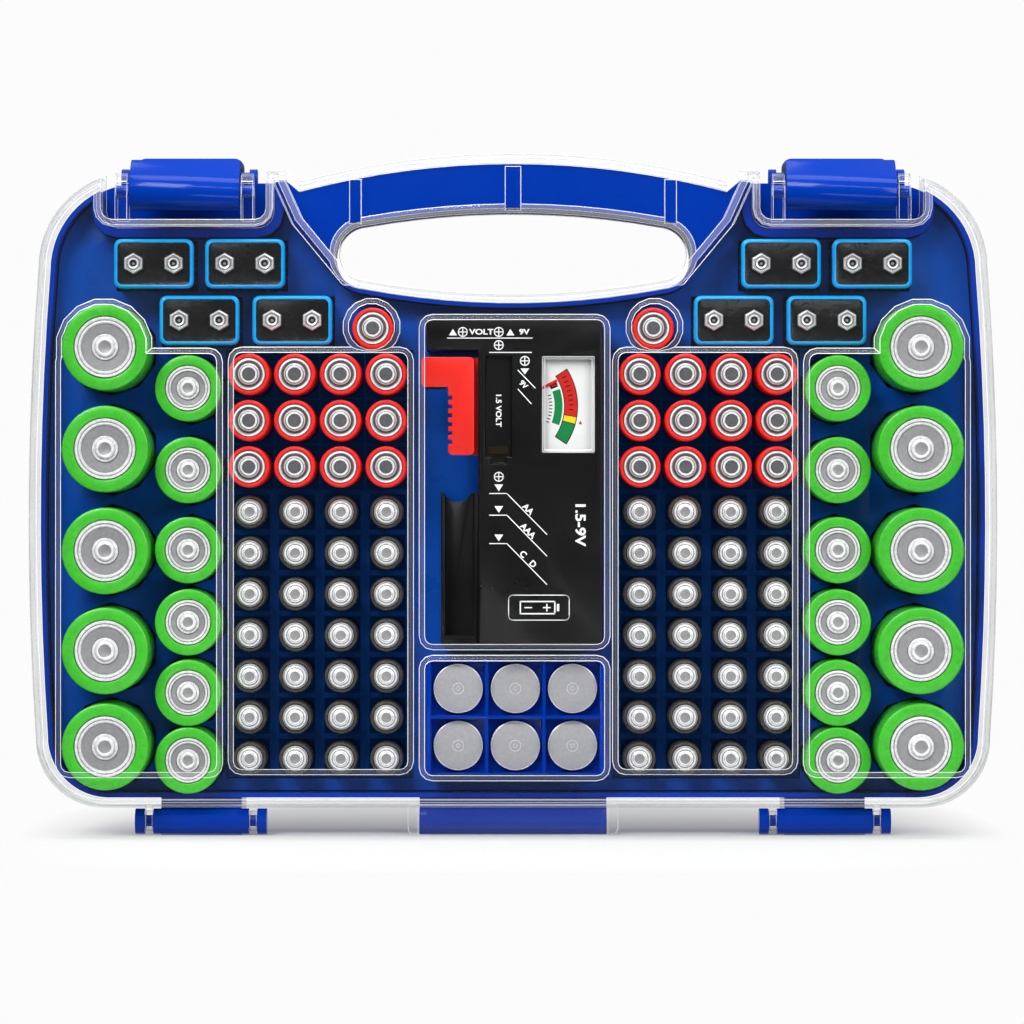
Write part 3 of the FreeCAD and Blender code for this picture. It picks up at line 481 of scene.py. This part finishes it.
# Rows of radius, depth behind the terminal's top, and material, from the middle outwards.
D_CELL = [
    (0, 0.10, GREY), (2.5, 0.10, BRIGHT), (2.7, 0.0, BRIGHT), (3.2, 0.08, BRIGHT), (3.6, 0.42, BRIGHT),
    (3.75, 1.2, SEAL), (3.85, 1.35, BRIGHT), (4.7, 1.3, BRIGHT), (5.0, 1.75, SEAL), (5.1, 2.15, GREY),
    (8.6, 1.95, GREY), (9.0, 1.6, BRIGHT), (9.4, 1.05, BRIGHT), (9.9, 1.1, BRIGHT), (10.15, 1.6, SEAL),
    (10.3, 1.6, BRIGHT), (10.6, 0.95, BRIGHT), (11.2, 0.9, BRIGHT), (11.5, 1.3, SEAL), (11.62, 1.9, SEAL),
    (11.7, 1.9, JACKET), (11.85, 1.3, JACKET), (12.3, 1.12, JACKET), (15.5, 1.12, JACKET),
    (16.1, 1.4, JACKET), (16.35, 2.1, JACKET),
]
C_CELL = [
    (0, 0.10, GREY), (2.0, 0.10, BRIGHT), (2.2, 0.0, BRIGHT), (2.7, 0.08, BRIGHT), (3.1, 0.45, BRIGHT),
    (3.2, 1.1, SEAL), (3.3, 1.25, BRIGHT), (4.15, 1.2, BRIGHT), (4.35, 1.7, SEAL), (4.5, 2.0, GREY),
    (6.2, 1.8, GREY), (6.5, 1.4, BRIGHT), (6.75, 1.0, BRIGHT), (7.15, 1.05, BRIGHT), (7.35, 1.5, SEAL),
    (7.5, 1.5, BRIGHT), (7.75, 0.95, BRIGHT), (8.25, 0.9, BRIGHT), (8.5, 1.25, SEAL), (8.6, 1.8, SEAL),
    (8.68, 1.8, JACKET), (8.85, 1.25, JACKET), (9.2, 1.1, JACKET), (11.9, 1.1, JACKET),
    (12.4, 1.35, JACKET), (12.6, 2.0, JACKET),
]
AA_CELL = [
    (0, 0.06, DARK), (2.3, 0.06, SEAL), (2.5, 0.06, BRIGHT), (2.7, 0.0, BRIGHT), (3.25, 0.1, GREY),
    (3.45, 0.3, SEAL), (3.58, 0.42, BRIGHT), (4.0, 0.9, GREY), (4.25, 1.25, SEAL), (4.4, 1.7, DARK),
    (4.95, 1.7, GREY), (5.1, 1.4, GREY), (5.35, 1.3, BRIGHT), (5.55, 1.35, BRIGHT), (5.95, 1.4, GREY),
    (6.15, 1.7, SEAL), (6.25, 2.0, JACKET), (6.35, 1.5, JACKET), (6.65, 1.25, JACKET),
    (7.25, 1.3, JACKET), (7.65, 1.65, JACKET), (7.85, 2.4, JACKET),
]
AAA_CELL = [
    (0, 0.05, GREY), (1.95, 0.05, BRIGHT), (2.1, 0.0, BRIGHT), (2.4, 0.08, SEAL), (2.5, 0.3, BRIGHT),
    (2.95, 0.45, BRIGHT), (3.15, 0.8, SEAL), (3.25, 1.05, GREY), (3.45, 1.05, BRIGHT),
    (3.95, 1.0, BRIGHT), (4.2, 1.25, GREY), (4.55, 1.6, BRIGHT), (4.8, 2.2, SEAL), (4.9, 2.7, SEAL),
    (5.0, 2.8, JACKET), (5.15, 2.45, JACKET), (5.5, 2.4, JACKET), (6.05, 2.8, JACKET),
    (6.35, 3.7, JACKET),
]
FOOT_RISE = 0.5
SHARP_ANGLE = 30.0


def make_cells(node, rows, foot_radius, jacket, sides):
    """Cells in one mesh, each turned about the middle of its CAD solid.

    Foot radius is the can's radius at its back, and sides is the number of sides of its circles.
    """
    work = bmesh.new()
    can_radius = rows[-1][0]
    for low, high in islands(node):
        length = high.y - low.y
        foot = [(can_radius, length - FOOT_RISE, JACKET), (foot_radius, length, BRIGHT),
                (0, length, BRIGHT)]
        lathe(work, *middle(low, high), low.y, rows + foot, sides)
    add_object(node + "_detailed", smooth_mesh(node + "_detailed", work, SHARP_ANGLE),
               cell_metals + [jacket], node)


make_cells("d_cells", D_CELL, 16.0, green_film, 64)
make_cells("c_cells", C_CELL, 12.3, green_film, 56)
make_cells("aa_cells", AA_CELL, 7.5, red_film, 44)
make_cells("aaa_cells", AAA_CELL, 6.0, lightened_black_film, 40)

# Loops of a 9 V block from the black front outwards and back: inset, corner radius, depth behind
# the front, and the material up to the next loop.
RIM, LABEL = range(2)
RIM_SHARP_ANGLE = 34.0
CORNER_STEPS = 5
NINE_VOLT_FRONT = [
    (1.75, 1.6, 0.5, LABEL), (1.6, 1.8, 0.45, LABEL), (1.35, 2.0, 0.1, RIM), (0.95, 2.3, 0.0, RIM),
    (0.4, 2.6, 0.25, RIM), (0.0, 2.8, 0.9, RIM), (0.0, 2.8, 4.0, LABEL),
]


def make_nine_volt():
    work = bmesh.new()
    for low, high in islands("nine_volt_cells"):
        x, z = middle(low, high)
        half_x, half_z = (high.x - low.x) / 2, (high.z - low.z) / 2
        length = high.y - low.y
        loops = NINE_VOLT_FRONT + [(0.0, 2.8, length - 0.5, LABEL), (0.5, 2.4, length, LABEL)]
        made = []
        for inset, corner, depth, material in loops:
            outline = quarter_corners(half_x - inset, half_z - inset, corner, CORNER_STEPS)
            made.append([work.verts.new((x + px, low.y + depth, z + pz)) for px, pz in outline])
        for first, second, loop in zip(made, made[1:], loops):
            bridge(work, first, second, loop[3])
        for end in (made[0], made[-1]):
            work.faces.new(end).material_index = LABEL
    add_object("nine_volt_detailed", smooth_mesh("nine_volt_detailed", work, RIM_SHARP_ANGLE),
               [sky_blue, black_film], "nine_volt_cells")


def hexagon(angle):
    """The reach of a hexagon whose corners lie at one, with corners at the top and bottom."""
    inside = ((angle + math.pi / 6) % (math.pi / 3)) - math.pi / 6
    return math.cos(math.pi / 6) / math.cos(inside)


# A snap: the round cup in the middle, and then the six-sided wall. Its rings take the bright, grey and
# dark steel as painted highlight and painted shade.
SNAP_STEPS = 48
SNAP_CUP = [
    (0, 1.6, GREY), (0.6, 1.6, SEAL), (1.1, 1.2, SEAL), (1.2, 0.5, GREY), (1.5, 0.12, BRIGHT),
    (1.95, 0.0, BRIGHT), (2.15, 0.35, SEAL), (2.35, 0.75, GREY),
]
SNAP_WALL = [
    (3.3, 0.6, BRIGHT), (3.75, 0.9, GREY), (4.1, 1.4, GREY), (4.1, 2.2, DARK), (3.7, 3.05, DARK),
]


def make_snaps():
    """Snap terminals: six-sided cups with a raised ring and an open middle."""
    work = bmesh.new()
    shapes = [round_shape] * len(SNAP_CUP) + [hexagon] * len(SNAP_WALL)
    for low, high in islands("nine_volt_snaps"):
        lathe(work, *middle(low, high), low.y, SNAP_CUP + SNAP_WALL, SNAP_STEPS, shapes)
    add_object("nine_volt_snaps_detailed", smooth_mesh("nine_volt_snaps_detailed", work, SHARP_ANGLE),
               cell_metals, "nine_volt_snaps")


# The coin's grooves and rounded edge take the bright cell steel, a painted highlight on the coin's own
# steel.
COIN_FACE, COIN_GROOVE = range(2)
COIN_RADIUS = 9.4
COIN_SIDES = 72
COIN_FRONT = [
    (0, 0.0, COIN_FACE), (0.55, 0.0, COIN_FACE), (0.62, 0.05, COIN_GROOVE), (0.75, 0.05, COIN_FACE),
    (0.82, 0.0, COIN_FACE), (1.9, 0.0, COIN_FACE), (2.0, 0.06, COIN_GROOVE), (2.16, 0.06, COIN_FACE),
    (2.26, 0.0, COIN_FACE), (8.75, 0.0, COIN_FACE), (9.0, 0.05, COIN_GROOVE), (9.1, 0.02, COIN_GROOVE),
    (9.3, 0.12, COIN_GROOVE), (COIN_RADIUS, 0.5, COIN_FACE),
]


def make_coins():
    work = bmesh.new()
    for low, high in islands("coin_cells"):
        thick = high.y - low.y
        back = [(COIN_RADIUS, thick - 0.3, COIN_FACE), (9.0, thick, COIN_FACE), (0, thick, COIN_FACE)]
        lathe(work, *middle(low, high), low.y, COIN_FRONT + back, COIN_SIDES)
    add_object("coin_cells_detailed", smooth_mesh("coin_cells_detailed", work, SHARP_ANGLE),
               [coin_face, cell_metals[BRIGHT]], "coin_cells")


make_nine_volt()
make_snaps()
make_coins()

# Edges that turn by less than the first angle count as round already; faces that differ by less
# than the second are one flat.
EDGE_ANGLE = 28.0
FLAT_ANGLE = 0.8
WELD_DISTANCE = 0.002


def soften(node, width, even=False):
    """Rounds a CAD node's edges with modifiers; its own mesh stays as it is.

    Even keeps wide flats flat where they meet a rounding of the node's own.
    """
    piece = frame["nodes"][node]
    weld = piece.modifiers.new("weld", "WELD")
    weld.merge_threshold = WELD_DISTANCE * MM
    flat = piece.modifiers.new("flat", "DECIMATE")
    flat.decimate_type = "DISSOLVE"
    flat.angle_limit = math.radians(FLAT_ANGLE)
    bevel = piece.modifiers.new("bevel", "BEVEL")
    bevel.limit_method = "ANGLE"
    bevel.angle_limit = math.radians(EDGE_ANGLE)
    bevel.width = width * MM
    bevel.segments = 2
    bevel.use_clamp_overlap = True
    bevel.harden_normals = True
    # The clear nodes' bevels take the painted edge lines.
    if node in CLEAR_NODES:
        bevel.material = 1
    if even:
        weighted = piece.modifiers.new("weighted", "WEIGHTED_NORMAL")
        weighted.mode = "FACE_AREA"
        weighted.weight = 100
        weighted.keep_sharp = True
    for polygon in piece.data.polygons:
        polygon.use_smooth = True


EDGE_ROUNDING = {
    "socket_deck": 0.25, "coin_tray": 0.3, "cell_grid_left": 0.2, "cell_grid_right": 0.2,
    "tester_front": 0.6, "tester_back": 0.5, "tester_slider": 0.35, "latch_left": 0.5,
    "latch_right": 0.5, "cover": 0.7, "meter_window": 0.2,
}
soften("tray", 0.5, even=True)
for name, width in EDGE_ROUNDING.items():
    soften(name, width)

# Printed marks. Each group is drawn on its own plane in millimetres, X to the right and Z up from
# the group's own origin, and then moved to its place. A mark over another stands out by a little.
inks = [
    moulded("ink_white", rgb(238, 240, 240), 0.5, 0.95), moulded("ink_black", rgb(18, 18, 20), 0.5, 0.9),
    moulded("ink_red", rgb(206, 34, 22), 0.5, 0.9), moulded("ink_green", rgb(10, 132, 66), 0.5, 0.9),
    moulded("ink_yellow", rgb(248, 214, 30), 0.5, 0.95),
]
WHITE, BLACK, RED, GREEN, YELLOW = range(5)
OVER = -0.01
INK_HEIGHT = 0.04
DIAL_INK_HEIGHT = 0.02
SLOT_DEPTH = 2.2
LINE = 0.34
FINE_LINE = 0.3
SIGN_LINE = 0.36
SIGN = 1.85
LETTER = 2.0
CAPITAL_SHARE = 0.7
LETTER_WEIGHT = 0.035


def flat_shape(work, points, y, ink):
    work.faces.new([work.verts.new((x, y, z)) for x, z in points]).material_index = ink


def stroke(work, points, width=LINE, y=0.0, ink=WHITE):
    """A line of even width through points, one flat strip for each stretch."""
    for (x0, z0), (x1, z1) in zip(points, points[1:]):
        length = math.hypot(x1 - x0, z1 - z0)
        ex, ez = (x1 - x0) / length * width / 2, (z1 - z0) / length * width / 2
        flat_shape(work, [(x0 - ex - ez, z0 - ez + ex), (x0 - ex + ez, z0 - ez - ex),
                          (x1 + ex + ez, z1 + ez - ex), (x1 + ex - ez, z1 + ez + ex)], y, ink)


def arc_band(work, x, z, radii, angles, ink, y=0.0, count=24):
    """A band between two radii and two angles in degrees."""
    inner, outer = radii
    start, stop = angles
    for step in range(count):
        first = math.radians(start + (stop - start) * step / count)
        second = math.radians(start + (stop - start) * (step + 1) / count)
        corners = ((inner, first), (outer, first), (outer, second), (inner, second))
        flat_shape(work, [(x + radius * math.cos(angle), z + radius * math.sin(angle))
                          for radius, angle in corners], y, ink)


def plus_circle(work, x, z):
    arc_band(work, x, z, (SIGN - SIGN_LINE, SIGN), (0, 360), WHITE, count=32)
    arm = SIGN - 0.2
    stroke(work, [(x - arm, z), (x + arm, z)])
    stroke(work, [(x, z - arm), (x, z + arm)], y=OVER)


def triangle(work, x, z, half, rise, ink=WHITE):
    """A triangle that points up, or down where its rise is negative."""
    flat_shape(work, [(x - half, z - rise / 2), (x + half, z - rise / 2), (x, z + rise / 2)], 0.0, ink)


def lettering(work, text, x, z, height=LETTER, turn=0, stretch=1.0):
    """White letters centred on x and z; turn is in degrees, anticlockwise as seen from the front."""
    curve = bpy.data.curves.new("letters", "FONT")
    curve.body = text
    curve.size = height / CAPITAL_SHARE
    curve.offset = LETTER_WEIGHT * height
    curve.align_x = "CENTER"
    curve.align_y = "CENTER"
    holder = bpy.data.objects.new("letters", curve)
    bpy.context.scene.collection.objects.link(holder)
    bpy.context.view_layer.update()
    flat = bpy.data.meshes.new_from_object(holder)
    bpy.data.objects.remove(holder)
    bpy.data.curves.remove(curve)
    angle = math.radians(turn)
    old_corners, old_faces = len(work.verts), len(work.faces)
    work.from_mesh(flat)
    work.verts.ensure_lookup_table()
    work.faces.ensure_lookup_table()
    for vertex in work.verts[old_corners:]:
        across, up = vertex.co.x * stretch, vertex.co.y
        vertex.co = (x + across * math.cos(angle) - up * math.sin(angle), 0.0,
                     z + across * math.sin(angle) + up * math.cos(angle))
    for face in work.faces[old_faces:]:
        face.material_index = WHITE
    bpy.data.meshes.remove(flat)


def add_marks(name, work, place):
    """Adds a group of marks at its place, all facing forwards."""
    for face in work.faces:
        if face.normal.y > 0:
            face.normal_flip()
    bmesh.ops.translate(work, vec=place, verts=work.verts[:])
    add_object(name, to_mesh(name, work), inks)


def cell_sign(work, x, z):
    """A framed outline of a cell with its two poles."""
    outline = [(x + px, z + pz) for px, pz in quarter_corners(11.4, 4.7, 1.6, 6)]
    stroke(work, outline + outline[:1], FINE_LINE)
    left, right, half = x - 7, x + 6, 2.3
    stroke(work, [(left, z - half), (right, z - half), (right, z + half), (left, z + half),
                  (left, z - half)], 0.5)
    stroke(work, [(right + 1.2, z - 0.9), (right + 1.2, z + 0.9)], 0.9)
    stroke(work, [(x + 1.8, z), (x + 4.2, z)], 0.45)
    stroke(work, [(x + 3.0, z - 1.2), (x + 3.0, z + 1.2)], 0.45, OVER)
    stroke(work, [(x - 5.2, z), (x - 2.8, z)], 0.45)


def make_tester_marks():
    """Marks on the tester, placed from the upper left corner of its face."""
    tester_low, tester_high = (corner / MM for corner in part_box("tester_front"))
    work = bmesh.new()
    sign_column = 27.35
    meter_column = 37.15
    triangle(work, 10.1, -4.85, 1.5, 2.4)
    plus_circle(work, 13.8, -4.75)
    lettering(work, "VOLT", 20.8, -4.8, stretch=1.25)
    plus_circle(work, sign_column, -4.75)
    triangle(work, 31.7, -4.85, 1.5, 2.4)
    lettering(work, "9V", 36.9, -4.8, stretch=1.2)
    stroke(work, [(8.1, -7.05), (39.9, -7.05)])
    plus_circle(work, sign_column, -9.7)
    stroke(work, [(23.9, -12.45), (39.6, -12.45)])

    plus_circle(work, meter_column, -15.65)
    triangle(work, meter_column, -19.6, 1.6, -2.2)
    stroke(work, [(34.6, -19.2), (41.0, -25.8)])
    lettering(work, "9V", 36.6, -24.6, turn=-45)
    stroke(work, [(34.6, -26.3), (39.5, -31.7)])

    plus_circle(work, sign_column, -59.25)
    for row, text in ((-63.4, "AA"), (-71.55, "AAA"), (-82.25, "C   D")):
        triangle(work, sign_column, row, 1.65, -2.5)
        stroke(work, [(23.9, row - 2.15), (30.4, row - 2.15), (45.4, row - 17.5)])
        lettering(work, text, 38.3, row - 8.1, 2.3, -45.5)
    lettering(work, "1.5-9V", 57.9, -76.9, 3.7, -90, 1.2)
    cell_sign(work, 42.45, -108.5)
    add_marks("tester_marks", work, (tester_low.x, tester_low.y - INK_HEIGHT, tester_high.z))

    work = bmesh.new()
    lettering(work, "1.5 VOLT", 27.2, -34.1, turn=-90, stretch=1.1)
    add_marks("slot_marks", work, (tester_low.x, tester_low.y + SLOT_DEPTH - INK_HEIGHT, tester_high.z))


def scale_marks(work, radii, first, step, width, count, y):
    """Short black marks from the first angle downwards, each of the given width in degrees."""
    for number in range(count):
        start = first - number * step
        arc_band(work, 0, 0, radii, (start, start + width), BLACK, y, 2)


def make_dial_marks():
    """The dial's bands and marks, round the needle's own axis."""
    work = bmesh.new()
    inner, outer = 21.2, 25.8
    arc_band(work, 0, 0, (inner - 0.35, outer + 0.35), (-33.8, 32.8), BLACK, count=40)
    arc_band(work, 0, 0, (inner, outer), (-8.6, 32.0), RED, 2 * OVER)
    arc_band(work, 0, 0, (inner, outer), (-15.0, -9.4), YELLOW, 2 * OVER, 6)
    arc_band(work, 0, 0, (inner, outer), (-33.0, -15.8), GREEN, 2 * OVER, 12)
    arc_band(work, 0, 0, (17.3, 20.3), (-21.0, 18.5), GREEN, 2 * OVER)
    arc_band(work, 0, 0, (17.1, 20.0), (21.5, 27.5), BLACK, 2 * OVER, 6)
    arc_band(work, 0, 0, (17.9, 20.2), (23.6, 25.4), RED, 3 * OVER, 4)
    scale_marks(work, (15.2, 16.5), 14.0, 4.6, 1.3, 9, 2 * OVER)
    scale_marks(work, (22.6, 24.4), 27.0, 4.4, 1.0, 8, 4 * OVER)
    triangle(work, 27.0, -6.15, 0.7, 1.5, RED)
    axis = next(joint["pos_m"] for joint in frame["record"]["behaviour"]["joints"]
                if joint["name"] == "needle_pivot")
    card_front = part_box("meter_dial")[0].y / MM
    add_marks("dial_marks", work, (axis[0] / MM, card_front - DIAL_INK_HEIGHT, axis[2] / MM))


make_tester_marks()
make_dial_marks()

# The floor is white, shaded only near the case, and see-through far from it, since the open cover
# of a standing case hangs below the floor. Its reach is in metres.
FLOOR_LOW, FLOOR_HIGH = (-1.4, -0.74), (1.4, 0.9)
SHADE_HALF_WIDTH = 0.19
SHADE_HALF_DEPTH = 0.22
SHADE_MIDDLE = 0.02


def make_stage():
    (left, front), (right, back) = FLOOR_LOW, FLOOR_HIGH
    mesh = bpy.data.meshes.new("floor")
    corners = [(left, front, 0.0), (right, front, 0.0), (right, back, 0.0), (left, back, 0.0)]
    mesh.from_pydata(corners, [], [(0, 1, 2, 3)])
    floor = bpy.data.objects.new("floor", mesh)
    bpy.context.scene.collection.objects.link(floor)

    g = material_graph("floor_white")
    place = g.apart(g.coordinates())
    across = g.math("DIVIDE", place["X"], SHADE_HALF_WIDTH)
    along = g.math("DIVIDE", g.math("SUBTRACT", place["Y"], SHADE_MIDDLE), SHADE_HALF_DEPTH)
    parts = [g.math("POWER", g.math("ABSOLUTE", part), 4.0) for part in (across, along)]
    reach = g.math("ADD", *parts)
    table = g.principled(Base_Color=(0.46, 0.46, 0.46, 1.0), Roughness=0.9,
                         Emission_Color=(0.2, 0.2, 0.2, 1.0))
    table.inputs["Emission Strength"].default_value = 1.0
    table.inputs["Specular IOR Level"].default_value = 0.0
    white = g.node("ShaderNodeEmission")
    white.inputs["Color"].default_value = WHITE_GROUND
    nothing = g.node("ShaderNodeBsdfTransparent")
    inner = g.mix_shaders(g.range(reach, 0.15, 1.0, 0.0, 1.0), table, white)
    mesh.materials.append(g.finish(g.mix_shaders(g.range(reach, 1.0, 1.3, 0.0, 1.0), inner, nothing)))


def make_world():
    """White behind the case for the camera, and a dim studio, lighter overhead, for light."""
    world = bpy.data.worlds.new("world")
    g = Graph(world, "ShaderNodeOutputWorld")
    height = g.apart(g.node("ShaderNodeTexCoord").outputs["Generated"])["Z"]
    studio = g.node("ShaderNodeBackground")
    white = g.node("ShaderNodeBackground")
    shade = g.ramp(height, [(0.1, (0.10, 0.10, 0.105)), (0.8, (0.55, 0.55, 0.57))])
    g.link(shade, studio.inputs["Color"])
    white.inputs["Color"].default_value = WHITE_GROUND
    seen = g.node("ShaderNodeLightPath").outputs["Is Camera Ray"]
    g.finish(g.mix_shaders(seen, studio, white))
    bpy.context.scene.world = world


def area_light(name, place, target, size, power):
    """A lamp of a width and a height in metres, turned towards its target."""
    data = bpy.data.lights.new(name, "AREA")
    data.shape = "RECTANGLE"
    data.size, data.size_y = size
    data.energy = power
    lamp = bpy.data.objects.new(name, data)
    bpy.context.scene.collection.objects.link(lamp)
    lamp.location = place
    lamp.rotation_euler = (Vector(target) - Vector(place)).to_track_quat("-Z", "Y").to_euler()


def make_light():
    case_middle = (0.0, 0.0, 0.12)
    area_light("key", (-0.75, -1.45, 1.25), case_middle, (0.8, 0.8), 30.0)
    area_light("fill", (1.1, -1.5, 0.8), case_middle, (0.6, 0.9), 15.0)
    area_light("low", (0.35, -1.5, -0.35), case_middle, (1.2, 0.25), 4.0)
    area_light("strip", (-0.1, -1.1, 0.95), (0.0, 0.0, 0.2), (1.5, 0.05), 5.0)
    area_light("top", (0.0, -0.15, 1.1), (0.0, 0.0, 0.1), (1.2, 0.4), 8.0)


make_stage()
make_world()
make_light()
